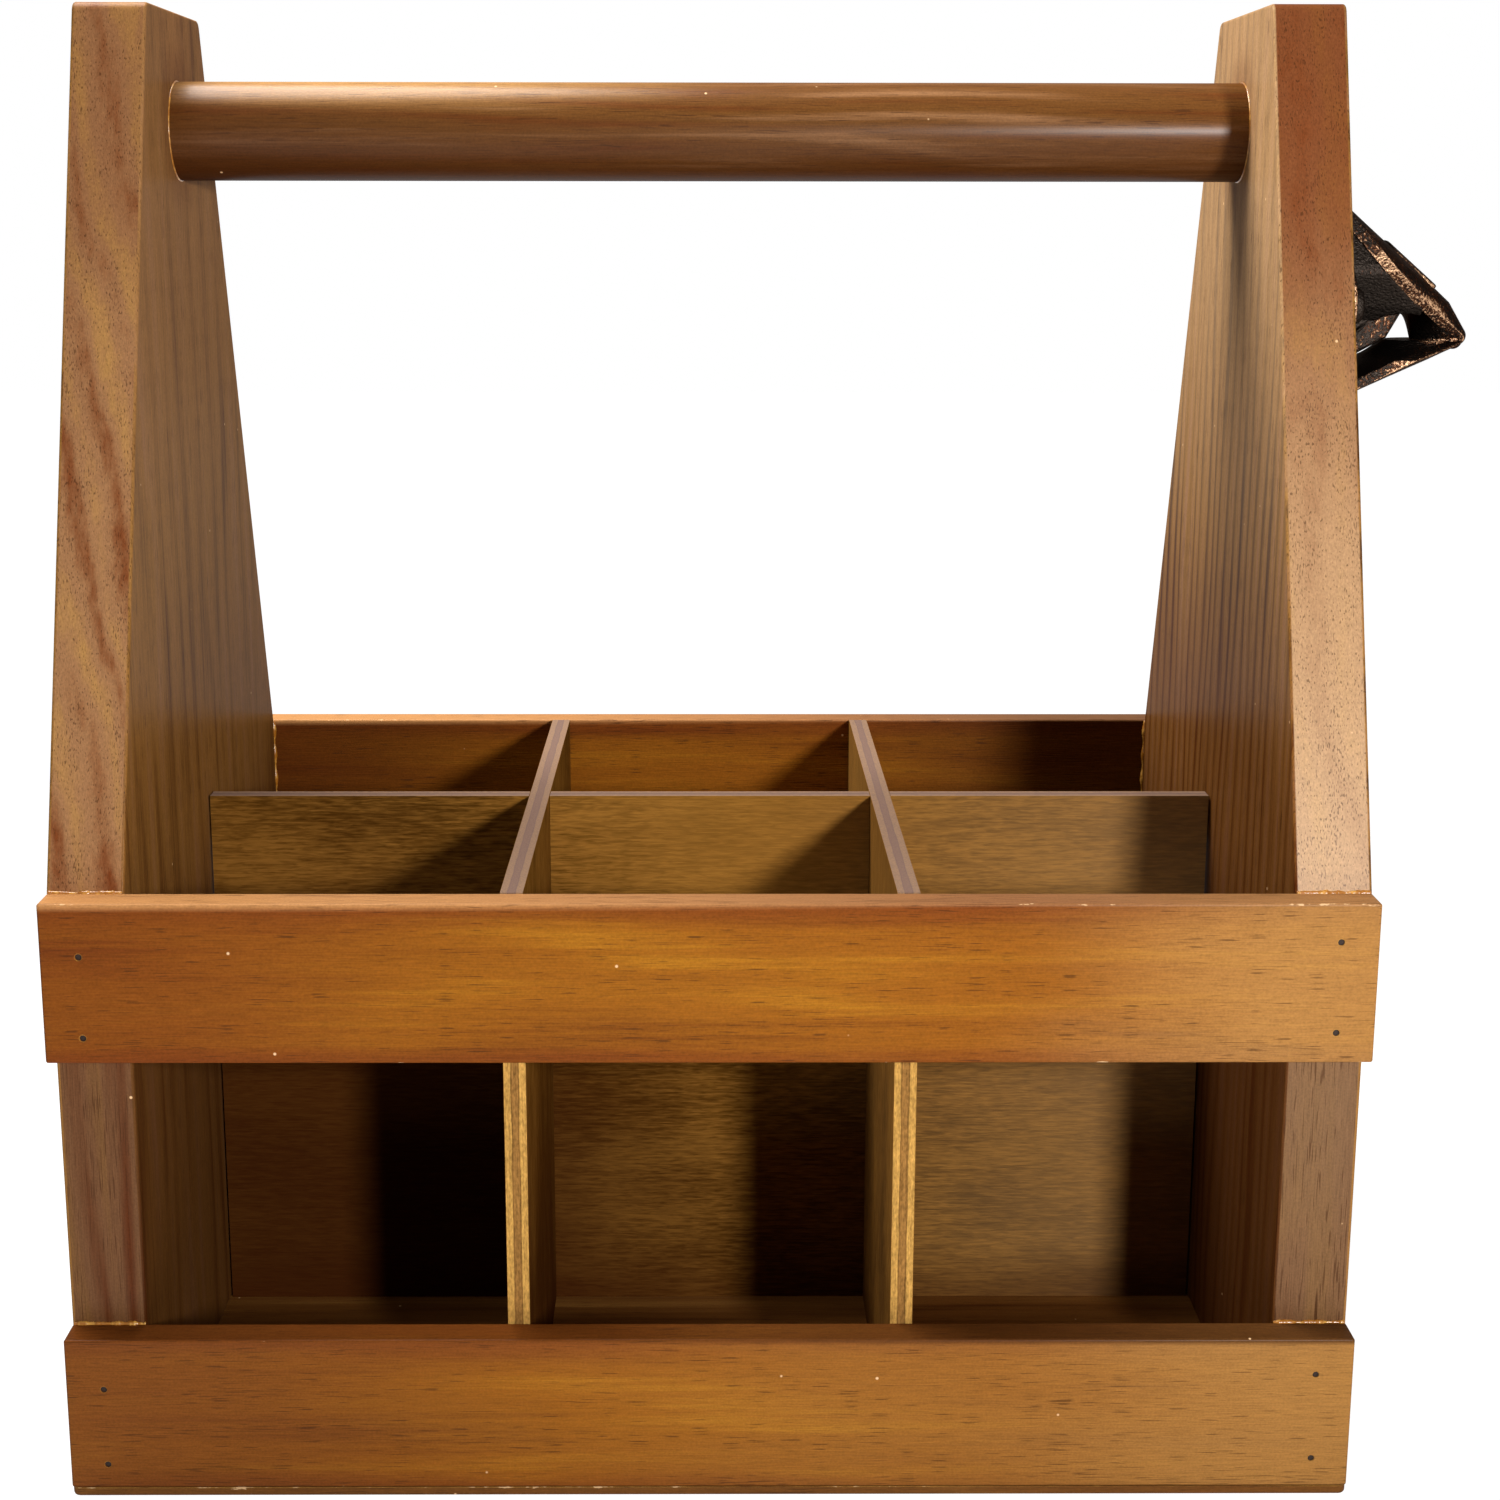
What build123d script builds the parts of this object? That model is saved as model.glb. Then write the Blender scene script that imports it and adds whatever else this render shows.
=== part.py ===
"""Six-bottle caddy of stained wood with a cast bottle opener on its right end.

Two tapered end panels are joined by a round handle rod, by two slats at the front and
two at the back, and by a thin bottom board under them all. A crate of three slotted
dividers stands loose inside and lifts out upwards.

Millimetres, +Z up, front at -Y. The origin is the middle of the bottom board's underside,
where the caddy stands.
"""
import os

from build123d import *

# Bottle cells and the plywood between them
cells_across = 3
cells_deep = 2
cell_width = 72.6
cell_depth = 80.0
ply_thickness = 4.5

# End panels
panel_thickness = 15.0
overall_height = 294.0
shoulder_height = 124.0
panel_top_width = 51.0
panel_corner_radius = 2.5

# Slats and bottom board
slat_thickness = 7.5
slat_height = 32.0
base_thickness = 2.0
base_corner_radius = 1.5
base_edge_radius = 0.8
arris_radius = 0.5

# Handle rod, glued in blind sockets
handle_diameter = 20.5
handle_drop = 24.5
handle_socket_share = 0.6
handle_glue_gap = 0.15

# Crate of dividers
crate_clearance = 0.5
crate_slot_clearance = 0.1

# Brads
brad_radius = 0.45
brad_head_radius = 0.65
brad_head_thickness = 0.8
brad_sink = 0.3
slat_brad_length = 25.0
base_brad_length = 16.0
left_brad_height_shares = (0.16, 0.67)
right_brad_height_shares = (0.19, 0.76)
panel_base_brad_shares = (-0.33, 0.0, 0.33)
slat_base_brad_shares = (-0.3, 0.0, 0.3)

# Cast opener: places are given outwards from the panel and upwards from its screws
opener_drop = 60.0
opener_plate_thickness = 4.0
opener_crown_up = 16.0
opener_foot_down = 13.0
opener_end_radius = 14.0
opener_ear_radius = 8.0
opener_plate_edge_radius = 1.0
boss_width = 18.0
boss_length = 14.0
boss_height = 1.1
boss_bow = 2.2
boss_middle_along = 12.5
boss_corner_radius = 2.5
boss_edge_radius = 0.3
tooth_width = 18.0
tooth_edge_radius = 1.0
tooth_root_top_down = 12.2
tooth_root_bottom_down = 15.7
tooth_back_out = 10.7
tooth_back_down = 4.9
tooth_crest_out = 17.0
tooth_tip_out = 20.4
tooth_tip_down = 0.6
tooth_heel_out = 16.7
tooth_heel_down = 7.3
tooth_belly_out = 11.0
tooth_belly_down = 10.4

# Beak of the opener. Its hood runs from the crown over brow and bend down to the tip, and its
# jaw from the tip over the chin back to the root. A bow is how far the rims lie behind the
# middle, and walls are measured outwards.
hood_rim_wall = 3.0
jaw_rim_wall = 4.5
beak_crown_up = 25.3
beak_crown_half_width = 10.0
beak_crown_bow = 0.6
beak_crown_wall = 5.0
beak_brow_up = 7.0
beak_brow_half_width = 20.0
beak_brow_bow = 7.9
beak_brow_wall = 10.0
beak_bend_out = 31.6
beak_bend_up = 0.0
beak_bend_half_width = 14.0
beak_bend_bow = 7.8
beak_bend_wall = 9.0
beak_tip_out = 36.8
beak_tip_down = 8.0
beak_tip_half_width = 6.0
beak_tip_bow = 1.5
beak_tip_radius = 2.0
hood_tip_wall = 12.5
jaw_tip_wall = 18.5
jaw_chin_down = 11.9
jaw_chin_half_width = 15.0
jaw_chin_bow = 6.0
jaw_chin_wall = 14.5
jaw_root_down = 22.8
jaw_root_half_width = 18.0
jaw_root_bow = 4.0
jaw_root_wall = 11.0

# Opener screws
screw_spacing = 50.0
screw_radius = 1.9
screw_hole_clearance = 0.3
screw_length = 14.0
screw_point_length = 3.0
screw_tip_share = 0.25
screw_head_radius = 3.7
screw_head_height = 2.6
screw_head_edge_radius = 1.3
screw_slot_width = 1.0
screw_slot_depth = 1.1

# Worked out from the sizes above
inner_width = cells_across * cell_width + (cells_across - 1) * ply_thickness
panel_depth = cells_deep * cell_depth + (cells_deep - 1) * ply_thickness
outer_width = inner_width + 2 * panel_thickness
body_depth = panel_depth + 2 * slat_thickness
panel_middle = inner_width / 2 + panel_thickness / 2
slat_middle = panel_depth / 2 + slat_thickness / 2
handle_radius = handle_diameter / 2
handle_height = overall_height - handle_drop
handle_socket_depth = handle_socket_share * panel_thickness
handle_length = inner_width + 2 * handle_socket_depth
slat_levels = {"lower": base_thickness, "upper": shoulder_height - slat_height}
crate_height = shoulder_height - base_thickness
crate_middle = base_thickness + crate_height / 2
cell_pitch = cell_width + ply_thickness
cross_divider_places = [
    number * cell_pitch - (inner_width + ply_thickness) / 2 for number in range(1, cells_across)
]
slat_brad_shares = {-1: left_brad_height_shares, 1: right_brad_height_shares}
opener_height = overall_height - opener_drop
opener_wall = outer_width / 2
screw_places = {"front": -screw_spacing / 2, "rear": screw_spacing / 2}


def block(size_x, size_y, size_z, centre_x, centre_y, bottom):
    """A box given by its size, its centre in plan and the height of its underside."""
    return Pos(centre_x, centre_y, bottom + size_z / 2) * Box(size_x, size_y, size_z)


def eased(solid):
    """The solid with every arris taken off."""
    return fillet(solid.edges(), arris_radius)


def brad(length):
    """A brad with its head at the origin and its shank along +Z, head sunk below the surface."""
    head = Pos(0, 0, brad_sink) * extrude(Circle(brad_head_radius), brad_head_thickness)
    shank = Pos(0, 0, brad_sink) * extrude(Circle(brad_radius), length)
    return head + shank


def brad_hole(length):
    """The hole that a brad leaves, open to the surface above its head."""
    return brad(length) + extrude(Circle(brad_head_radius), brad_sink)


def slat_brad_locations(side_sign, level):
    """Where the four brads of one slat start, pointing inwards through the panels' edges."""
    turn = -90 if side_sign < 0 else 90
    face = side_sign * body_depth / 2
    return [
        Pos(end * panel_middle, face, slat_levels[level] + share * slat_height) * Rot(turn, 0, 0)
        for end, shares in slat_brad_shares.items()
        for share in shares
    ]


def base_brad_locations():
    """Where the brads of the bottom board start, pointing up into the panels and lower slats."""
    in_panels = [
        Pos(end * panel_middle, share * panel_depth, 0)
        for end in (-1, 1)
        for share in panel_base_brad_shares
    ]
    in_slats = [
        Pos(share * outer_width, side * slat_middle, 0)
        for side in (-1, 1)
        for share in slat_base_brad_shares
    ]
    return in_panels + in_slats


def all_brad_holes():
    """Every brad hole of the carcass as one tool."""
    holes = [place * brad_hole(base_brad_length) for place in base_brad_locations()]
    for side_sign in (-1, 1):
        for level in slat_levels:
            places = slat_brad_locations(side_sign, level)
            holes += [place * brad_hole(slat_brad_length) for place in places]
    return Part() + holes


def end_panel(side_sign, holes):
    """Tapered end panel with its handle socket; side_sign is -1 for left, 1 for right."""
    outline = Polyline(
        (-panel_depth / 2, base_thickness),
        (-panel_depth / 2, shoulder_height),
        (-panel_top_width / 2, overall_height),
        (panel_top_width / 2, overall_height),
        (panel_depth / 2, shoulder_height),
        (panel_depth / 2, base_thickness),
        close=True,
    )
    board = extrude(Plane.YZ * make_face(outline), panel_thickness / 2, both=True)
    top_corners = board.edges().filter_by(Axis.X).group_by(Axis.Z)[-1]
    board = eased(fillet(top_corners, panel_corner_radius))
    board = Pos(side_sign * panel_middle, 0, 0) * board
    socket = rod_along_x(handle_radius + handle_glue_gap, handle_length)
    board = board - socket - holes
    if side_sign > 0:
        board -= [screw_place(name) * screw_body(screw_radius) for name in screw_places]
    return board


def rod_along_x(radius, length):
    """A round bar on the handle's axis."""
    return Pos(0, 0, handle_height) * Rot(0, 90, 0) * Cylinder(radius, length)


def slat(side_sign, level, holes):
    """One slat across the end panels' edges, with its ends flush with their outer faces."""
    board = block(
        outer_width, slat_thickness, slat_height, 0, side_sign * slat_middle, slat_levels[level]
    )
    return eased(board) - holes


def bottom_board(holes):
    """Thin board under the panels and slats."""
    board = block(outer_width, body_depth, base_thickness, 0, 0, 0)
    board = fillet(board.edges().filter_by(Axis.Z), base_corner_radius)
    board = fillet(board.edges().group_by(Axis.Z)[0], base_edge_radius)
    return board - holes


def long_divider():
    """Divider across the caddy's width, slotted from above for the cross dividers."""
    plate = block(inner_width - 2 * crate_clearance, ply_thickness, crate_height, 0, 0, base_thickness)
    slot_width = ply_thickness + 2 * crate_slot_clearance
    slots = [
        block(slot_width, slot_width, crate_height, place, 0, crate_middle - crate_slot_clearance)
        for place in cross_divider_places
    ]
    return plate - slots


def cross_divider(place):
    """Divider across the caddy's depth, slotted from below for the long divider."""
    length = panel_depth - 2 * crate_clearance
    plate = block(ply_thickness, length, crate_height, place, 0, base_thickness)
    slot_width = ply_thickness + 2 * crate_slot_clearance
    slot = block(slot_width, slot_width, crate_height, place, 0, crate_middle - crate_height)
    return plate - slot


def beak_section(rim_wall, out, up, half_width, bow, wall):
    """Bowed strip in plan: a level cut through the beak, its wall thicker in the middle."""
    outer = ThreePointArc((out - bow, -half_width), (out, 0), (out - bow, half_width))
    rim_in = out - bow - rim_wall
    inner = ThreePointArc((rim_in, half_width), (out - wall, 0), (rim_in, -half_width))
    ends = [Line(outer @ 1, inner @ 0), Line(inner @ 1, outer @ 0)]
    return Pos(0, 0, up) * make_face([outer, inner] + ends)


def beak_part(rim_wall, levels):
    """The beak's wall straight from level to level, each (out, up, half width, bow, wall)."""
    return loft([beak_section(rim_wall, *level) for level in levels], ruled=True)


def opener_plate():
    """Wall plate: the outline of a shield round its crown, foot and two screw ears."""
    discs = [
        Pos(0, opener_crown_up) * Circle(opener_end_radius),
        Pos(0, -opener_foot_down) * Circle(opener_end_radius),
        Pos(-screw_spacing / 2, 0) * Circle(opener_ear_radius),
        Pos(screw_spacing / 2, 0) * Circle(opener_ear_radius),
    ]
    outline = make_hull([edge for disc in discs for edge in disc.edges()])
    plate = extrude(Plane.YZ * outline, opener_plate_thickness)
    front_edges = plate.faces().sort_by(Axis.X)[-1].edges()
    return fillet(front_edges, opener_plate_edge_radius)


def opener_tooth():
    """Tooth that stands out of the wall plate and hooks under a cap's rim."""
    half_plate = opener_plate_thickness / 2
    top = Spline(
        (half_plate, -tooth_root_top_down),
        (tooth_back_out, -tooth_back_down),
        (tooth_crest_out, 0),
        (tooth_tip_out, -tooth_tip_down),
    )
    rest = Polyline(
        (tooth_tip_out, -tooth_tip_down),
        (tooth_heel_out, -tooth_heel_down),
        (tooth_belly_out, -tooth_belly_down),
        (half_plate, -tooth_root_bottom_down),
        (half_plate, -tooth_root_top_down),
    )
    tooth = extrude(Plane.XZ * make_face([top] + rest.edges()), tooth_width / 2, both=True)
    return fillet(tooth.faces().filter_by(Axis.Y).edges(), tooth_edge_radius)


def opener_boss():
    """Bare raised field with round corners on the hood's outer face."""
    bend = Vector(beak_bend_out, 0, beak_bend_up)
    crown = Vector(opener_plate_thickness / 2, 0, beak_crown_up)
    slope = (crown - bend).normalized()
    outwards = Vector(0, 1, 0).cross(slope)
    strip_shape = (boss_width / 2, boss_bow, beak_crown_wall)
    strip = beak_part(
        hood_rim_wall, [(end.X + boss_height, end.Z, *strip_shape) for end in (bend, crown)]
    )
    field_plane = Plane(bend + slope * boss_middle_along, x_dir=slope, z_dir=outwards)
    field = field_plane * RectangleRounded(boss_length, boss_width, boss_corner_radius)
    boss = strip & extrude(field, beak_bend_bow, both=True)
    outer_face = boss.faces().sort_by(Axis(bend, outwards))[-1]
    return fillet(outer_face.edges(), boss_edge_radius)


def opener_beak():
    """Hood and jaw, which meet in a blunt tip. Brow and chin lie on straight slopes at y = 0."""
    wall_out = opener_plate_thickness / 2
    brow_share = (beak_crown_up - beak_brow_up) / (beak_crown_up - beak_bend_up)
    brow_out = wall_out + brow_share * (beak_bend_out - wall_out)
    chin_share = (jaw_root_down - jaw_chin_down) / (jaw_root_down - beak_tip_down)
    chin_out = wall_out + chin_share * (beak_tip_out - wall_out)
    tip = (beak_tip_out, -beak_tip_down, beak_tip_half_width, beak_tip_bow)
    hood = [
        (wall_out, beak_crown_up, beak_crown_half_width, beak_crown_bow, beak_crown_wall),
        (brow_out, beak_brow_up, beak_brow_half_width, beak_brow_bow, beak_brow_wall),
        (beak_bend_out, beak_bend_up, beak_bend_half_width, beak_bend_bow, beak_bend_wall),
        (*tip, hood_tip_wall),
    ]
    jaw = [
        (*tip, jaw_tip_wall),
        (chin_out, -jaw_chin_down, jaw_chin_half_width, jaw_chin_bow, jaw_chin_wall),
        (wall_out, -jaw_root_down, jaw_root_half_width, jaw_root_bow, jaw_root_wall),
    ]
    beak = beak_part(hood_rim_wall, hood) + beak_part(jaw_rim_wall, jaw)
    tip_edge = beak.edges().sort_by(Axis.X)[-1]
    return fillet(tip_edge, beak_tip_radius)


def bottle_opener():
    """The casting: wall plate, beak with its boss, and the tooth between hood and jaw."""
    casting = opener_plate() + opener_tooth() + opener_beak() + opener_boss()
    reach = beak_tip_out + boss_height
    keep = Pos(reach / 2, 0, 0) * Box(reach, screw_spacing + 2 * opener_ear_radius, 2 * reach)
    casting = Pos(opener_wall, 0, opener_height) * (casting & keep)
    holes = [
        screw_place(name) * screw_body(screw_radius + screw_hole_clearance) for name in screw_places
    ]
    return casting - holes


def screw_place(name):
    """Where an opener screw's head sits, its shank pointing into the panel."""
    return Pos(opener_wall + opener_plate_thickness, screw_places[name], opener_height) * Rot(0, -90, 0)


def screw_body(radius):
    """Shank of an opener screw with its point, from the head's underside along +Z."""
    straight = screw_length - screw_point_length
    shank = extrude(Circle(radius), straight)
    point = Cone(radius, screw_tip_share * radius, screw_point_length)
    return shank + Pos(0, 0, straight + screw_point_length / 2) * point


def opener_screw(name):
    """Round-head slotted wood screw."""
    head = extrude(Circle(screw_head_radius), -screw_head_height)
    head = fillet(head.edges().group_by(Axis.Z)[0], screw_head_edge_radius)
    slot = block(
        2 * screw_head_radius, screw_slot_width, screw_slot_depth, 0, 0, -screw_head_height
    )
    return screw_place(name) * (head + screw_body(screw_radius) - slot)


def caddy():
    """Every piece by its name."""
    holes = all_brad_holes()
    pieces = {
        "left_end_panel": end_panel(-1, holes),
        "right_end_panel": end_panel(1, holes),
        "handle_rod": rod_along_x(handle_radius, handle_length),
        "bottom_board": bottom_board(holes),
        "bottom_board_brads": Part() + [p * brad(base_brad_length) for p in base_brad_locations()],
        "long_divider": long_divider(),
        "bottle_opener": bottle_opener(),
    }
    for side, side_sign in (("front", -1), ("back", 1)):
        for level in slat_levels:
            pieces[f"{side}_{level}_slat"] = slat(side_sign, level, holes)
            places = slat_brad_locations(side_sign, level)
            pieces[f"{side}_{level}_slat_brads"] = Part() + [p * brad(slat_brad_length) for p in places]
    for name, place in zip(("left", "right"), cross_divider_places):
        pieces[f"{name}_cross_divider"] = cross_divider(place)
    for name in screw_places:
        pieces[f"{name}_opener_screw"] = opener_screw(name)
    return pieces


os.makedirs("parts", exist_ok=True)
for node, piece in caddy().items():
    export_step(piece, f"parts/{node}.step")
    print(node, round(piece.volume), "mm3")
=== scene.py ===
"""Six-bottle wooden caddy: finishes, varnish beads and stage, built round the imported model.

The caddy is stained and varnished softwood with plywood dividers. Its opener is a sand-cast
bottle opener with an antique copper finish. Lengths are in metres unless a name ends in _mm.
Patterns and pools of stain in the materials are laid out in millimetres of the object's own
coordinates.
"""

import bpy
import numpy as np
from bpy.props import FloatProperty, FloatVectorProperty, PointerProperty
from mathutils import Matrix, Vector


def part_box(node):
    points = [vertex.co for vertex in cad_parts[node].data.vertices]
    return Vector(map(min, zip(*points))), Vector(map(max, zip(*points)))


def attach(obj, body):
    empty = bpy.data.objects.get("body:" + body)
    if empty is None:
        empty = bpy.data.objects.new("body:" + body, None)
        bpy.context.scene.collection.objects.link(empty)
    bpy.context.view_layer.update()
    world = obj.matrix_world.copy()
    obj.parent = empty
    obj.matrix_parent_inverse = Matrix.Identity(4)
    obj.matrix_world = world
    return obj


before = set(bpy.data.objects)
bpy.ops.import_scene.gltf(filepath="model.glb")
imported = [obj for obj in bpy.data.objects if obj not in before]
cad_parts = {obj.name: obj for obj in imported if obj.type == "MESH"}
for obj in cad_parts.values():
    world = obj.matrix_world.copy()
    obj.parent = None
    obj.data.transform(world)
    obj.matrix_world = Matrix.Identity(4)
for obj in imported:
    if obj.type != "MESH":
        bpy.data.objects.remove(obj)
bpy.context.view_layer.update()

bl_info = {
    "name": "Bottle Caddy",
    "version": (1, 0, 0),
    "blender": (4, 5, 0),
    "location": "3D View > Sidebar > Caddy",
    "description": "Finishes, varnish beads, cast opener and stage of a wooden bottle caddy",
    "category": "Object",
}

MM = 0.001
IMAGE_SIDE_PX = 1500
GRAIN_ALONG_X = (0.0, 0.0, 0.0)
GRAIN_ALONG_Z = (0.0, np.pi / 2, 0.0)
X_AXIS, Y_AXIS, Z_AXIS = (1, 0, 0), (0, 1, 0), (0, 0, 1)
WHITE = (1.0, 1.0, 1.0, 1.0)

# Each end panel's end of the caddy, the shift of its pattern, and how far apart the growth rings
# lie on its edges and on its broad faces: along the grain and both ways across it. A minus sign
# makes the rings slant the other way.
END_PANELS_MM = (
    ("left_end_panel", -1, (0.0, 3.0, 8.0), (500.0, 14.0, -9.0), (900.0, 14.0, -60.0)),
    ("right_end_panel", 1, (140.0, 61.0, 40.0), (260.0, 90.0, -14.0), (900.0, 7.0, -60.0)),
)


def linear(colour):
    """An sRGB hex colour such as "#A8621E" as linear red, green and blue."""
    share = np.array([int(colour[i : i + 2], 16) / 255 for i in (1, 3, 5)])
    low = share / 12.92
    high = ((share + 0.055) / 1.055) ** 2.4
    return tuple(float(x) for x in np.where(share <= 0.04045, low, high))


def colour_property(name, description, colour):
    """A colour setting whose default is an sRGB hex colour."""
    return FloatVectorProperty(
        name=name, description=description, subtype="COLOR", size=3, min=0, max=1,
        default=linear(colour),
    )


def length_property(name, description, length_mm):
    """A length setting whose default is given in millimetres."""
    return FloatProperty(
        name=name, description=description, unit="LENGTH", precision=5, default=length_mm * MM
    )


class CaddyStain(bpy.types.PropertyGroup):
    """Colours and grain sizes of the stained softwood.

    A real fibre is about 0.04 mm wide and a real pore 0.1 mm, too fine to show, so both are drawn
    wider.
    """

    # The deep colour is also painted shade: low in the box, under the handle and on the lower
    # slats' tops.
    deep_and_shade: colour_property("Stain, deep", "Thick stain in the cells and under the handle", "#3A1A08")
    # On the end panels' inner faces the dark colour is also painted shade, low down and round the
    # handle.
    dark: colour_property("Stain, dark", "Pooled stain and dense grain", "#5C2B0D")
    red: colour_property("Stain, red", "Thick stain along edges and at the ends", "#6C3212")
    middle: colour_property("Stain, middle", "Most of the wood", "#864E12")
    light: colour_property("Stain, light", "Open pale grain", "#A66E1A")
    # On the handle the tan colour is a painted highlight.
    tan: colour_property("Stain, tan", "Thin stain at slat ends and rubbed spots", "#A87C46")
    # The bare colour is partly thin stain and partly a painted sheen on the right panel.
    bare: colour_property("Stain, bare", "Thinnest stain, on the right panel", "#BE9A72")
    # The pale colour is a painted highlight on the upper slats' tops.
    pale: colour_property("Stain, pale", "Bare grain on the upper slats' tops", "#C99058")
    olive: colour_property("Stain, olive", "Most of the end panels' edges", "#976C48")
    face: colour_property("Stain, face", "Broad faces of the end panels", "#8F6430")
    rod: colour_property("Stain, rod", "The handle and the bottom board", "#67401B")
    amber: colour_property("Varnish, amber", "Varnish pooled in inner corners", "#A0631A")
    # On the boards' edges the honey colour is partly a painted highlight.
    honey: colour_property("Varnish, honey", "Thin varnish on worn edges and beads", "#D9A24A")
    pore: colour_property("Pores", "Short dark pores along the grain", "#3E2210")
    fleck: colour_property("Flecks", "Pale chips and dust in the varnish", "#E8BF8E")
    fibre_length: length_property("Fibre length", "Length of one fibre mark", 6.0)
    fibre_width: length_property("Fibre width", "Width of one fibre mark", 0.3)
    pore_length: length_property("Pore length", "Length of one dark pore", 6.0)
    pore_width: length_property("Pore width", "Width of one dark pore", 0.24)
    arris: length_property("Arris", "How round the boards' edges look", 0.5)


class CaddyPlywood(bpy.types.PropertyGroup):
    """Colours and sizes of the three-ply dividers.

    The ripples that a peeling knife leaves are about 0.2 mm apart, and are drawn coarser so that
    they show.
    """

    face_dark: colour_property("Face, dark", "Valleys of the rippled face veneer", "#4A2E0A")
    face_light: colour_property("Face, light", "Crests of the rippled face veneer", "#9D6C2C")
    face_tan: colour_property("Face, tan", "Thinly stained veneer at the right", "#94714A")
    edge_light: colour_property("Edge, outer plies", "Long-grain plies at an edge", "#B38745")
    edge_dark: colour_property("Edge, middle ply", "End-grain ply at an edge", "#8A6232")
    top: colour_property("Top edge", "Weathered grey-brown of the top edges", "#776462")
    ripple_length: length_property("Ripple length", "Length of one ripple of the veneer", 4.0)
    ripple_width: length_property("Ripple width", "Spacing of the veneer's ripples", 0.5)
    middle_ply: length_property("Middle ply", "Thickness of the middle ply", 1.5)


class CaddyMetal(bpy.types.PropertyGroup):
    """Colours of the antique copper finish and of the brads.

    Moulding sand leaves marks of about 0.25 mm, and they are drawn coarser so that they show.
    """

    patina: colour_property("Patina", "Dark film on the casting", "#352E29")
    copper: colour_property("Copper", "Copper rubbed bright on rims", "#E4B68E")
    brown: colour_property("Brown", "Half-rubbed copper", "#5A3420")
    brad: colour_property("Brad", "Stained steel brads", "#2A211B")
    grit: length_property("Casting grit", "Size of the sand marks on the casting", 0.55)
    edge: length_property("Casting edge", "How round the casting's edges are worn", 0.7)


class CaddyStage(bpy.types.PropertyGroup):
    """Light and floor."""

    key_watts: FloatProperty(name="Key light", description="Power of the front light", default=4.6)
    top_watts: FloatProperty(name="Top light", description="Power of the top light", default=5.8)
    room: FloatProperty(name="Room light", description="Strength of the even light", default=0.04)


def node(tree, kind, inputs=None, out=0, **settings):
    """Adds a shader node and returns one of its outputs, if it has any.

    inputs maps a socket's name or number to a value or to another node's output, and settings
    are the node's own properties.
    """
    made = tree.nodes.new("ShaderNode" + kind)
    for name, value in settings.items():
        setattr(made, name, value)
    for key, value in (inputs or {}).items():
        if isinstance(value, bpy.types.NodeSocket):
            tree.links.new(value, made.inputs[key])
        else:
            made.inputs[key].default_value = value
    return made.outputs[out] if made.outputs else None


def new_material(name):
    """An empty node material and its tree."""
    material = bpy.data.materials.new(name)
    material.use_nodes = True
    material.node_tree.nodes.clear()
    return material, material.node_tree


def millimetres(tree, turn=GRAIN_ALONG_X, shift=(0.0, 0.0, 0.0)):
    """Object coordinates in millimetres, turned so that their X runs along the grain."""
    place = node(tree, "TexCoord", out="Object")
    scale = (1 / MM, 1 / MM, 1 / MM)
    return node(
        tree, "Mapping", {"Vector": place, "Rotation": turn, "Scale": scale, "Location": shift}
    )


def marks(tree, place, length, width, detail=2.0, rough=0.5, seed=0.0, bend=0.0):
    """Noise from 0 to 1 whose cells are length by width millimetres, long along the grain."""
    grid = {0: place, 1: (1 / length, 1 / width, 1 / width), 2: (seed, seed, seed)}
    cells = node(tree, "VectorMath", grid, operation="MULTIPLY_ADD")
    settings = {"Scale": 1.0, "Detail": detail, "Roughness": rough, "Distortion": bend}
    return node(tree, "TexNoise", {"Vector": cells, **settings})


def weighted(tree, *terms):
    """Sum of (value, factor, middle) terms: factor times how far the value is from its middle."""
    total = 0.0
    for value, factor, middle in terms:
        away = node(tree, "Math", {0: value, 1: middle}, operation="SUBTRACT")
        total = node(tree, "Math", {0: away, 1: factor, 2: total}, operation="MULTIPLY_ADD")
    return total


def ramp(tree, value, start, end, low=0.0, high=1.0):
    """Smooth change from low, where the value is start, to high, where it is end."""
    cover = {0: value, 1: start, 2: end, 3: low, 4: high}
    return node(tree, "MapRange", cover, interpolation_type="SMOOTHSTEP")


def painted(tree, base, *layers):
    """Colours laid over base one after another.

    A layer is (colour, value, start, end, share): none of it lies where the value is start, and
    share of it where the value is end, with a smooth change between them.
    """
    for colour, value, start, end, share in layers:
        cover = ramp(tree, value, start, end, 0.0, share)
        base = node(tree, "Mix", {0: cover, 6: base, 7: (*colour, 1.0)}, out=2, data_type="RGBA")
    return base


def shaded(tree, base, *terms):
    """The colour made brighter or darker by the weighted terms."""
    shade = weighted(tree, *terms, (1.0, 1.0, 0.0))
    grey = node(tree, "CombineColor", {0: shade, 1: shade, 2: shade})
    blend = {0: 1.0, 6: base, 7: grey}
    return node(tree, "Mix", blend, out=2, data_type="RGBA", blend_type="MULTIPLY")


def away_from(tree, centre_mm, mask):
    """Distance in millimetres from a plane, line or point: only the masked axes count."""
    place = millimetres(tree)
    offset = node(tree, "VectorMath", {0: place, 1: centre_mm}, operation="SUBTRACT")
    offset = node(tree, "VectorMath", {0: offset, 1: mask}, operation="MULTIPLY")
    return node(tree, "VectorMath", {0: offset}, out="Value", operation="LENGTH")


def pooled(tree, base, wander, pools):
    """Stain that took differently in places, and painted light and shade laid on in the same way.

    A pool is (centre_mm, mask, near, far, colour, share, ragged): share of the colour lies up to
    near millimetres from the masked plane, line or point and none beyond far, and wander makes
    that distance ragged by up to half of ragged.
    """
    for centre_mm, mask, near, far, colour, share, ragged in pools:
        away = weighted(tree, (away_from(tree, centre_mm, mask), 1.0, 0.0), (wander, ragged, 0.5))
        base = painted(tree, base, (colour, away, far, near, share))
    return base


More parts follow.
